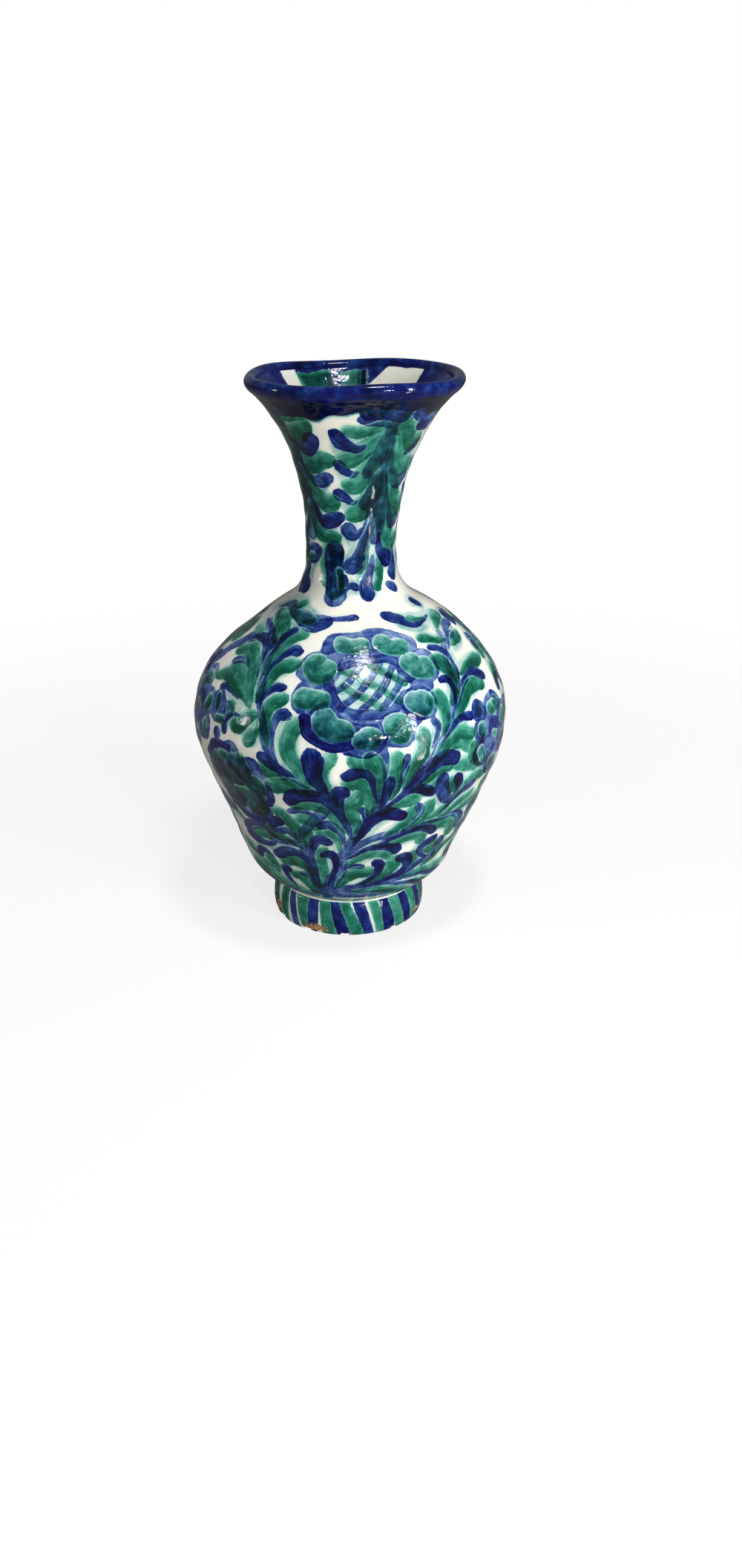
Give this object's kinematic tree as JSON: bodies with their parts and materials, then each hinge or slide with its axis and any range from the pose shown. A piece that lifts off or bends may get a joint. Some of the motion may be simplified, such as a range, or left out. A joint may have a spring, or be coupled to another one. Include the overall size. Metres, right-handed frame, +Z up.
{
  "type": "footed ceramic vase",
  "caption": "Tall footed pottery vase: ring foot, round belly and a trumpet neck with a rolled lip, thrown in sections and glazed with painted blue and green leaves.",
  "frame": {"origin": "middle of the foot's resting face, on the axis the pot was thrown about", "axes": "+Z up from the foot to the lip; -Y is the side the picture shows"},
  "size_m": [0.171, 0.171, 0.3],
  "materials": {
    "foot_glaze": "glossy white glaze with green and blue stripes",
    "base_glaze": "glossy white glaze painted with leaves",
    "shoulder_glaze": "glossy white glaze painted with a blossom",
    "neck_glaze": "glossy white glaze painted with hanging leaves",
    "lip_glaze": "glossy cobalt blue",
    "clay": "bare fired clay, matt"
  },
  "bodies": {
    "root": {"foot_ring": "foot_glaze", "foot_slip_ring": "clay", "base_bowl": "base_glaze", "belly_slip_ring": "clay", "belly_seam_coil": "clay", "shoulder_dome": "shoulder_glaze", "neck_slip_ring": "clay", "trumpet_neck": "neck_glaze", "lip_slip_ring": "clay", "lip_coil": "lip_glaze"}
  },
  "joints": []
}
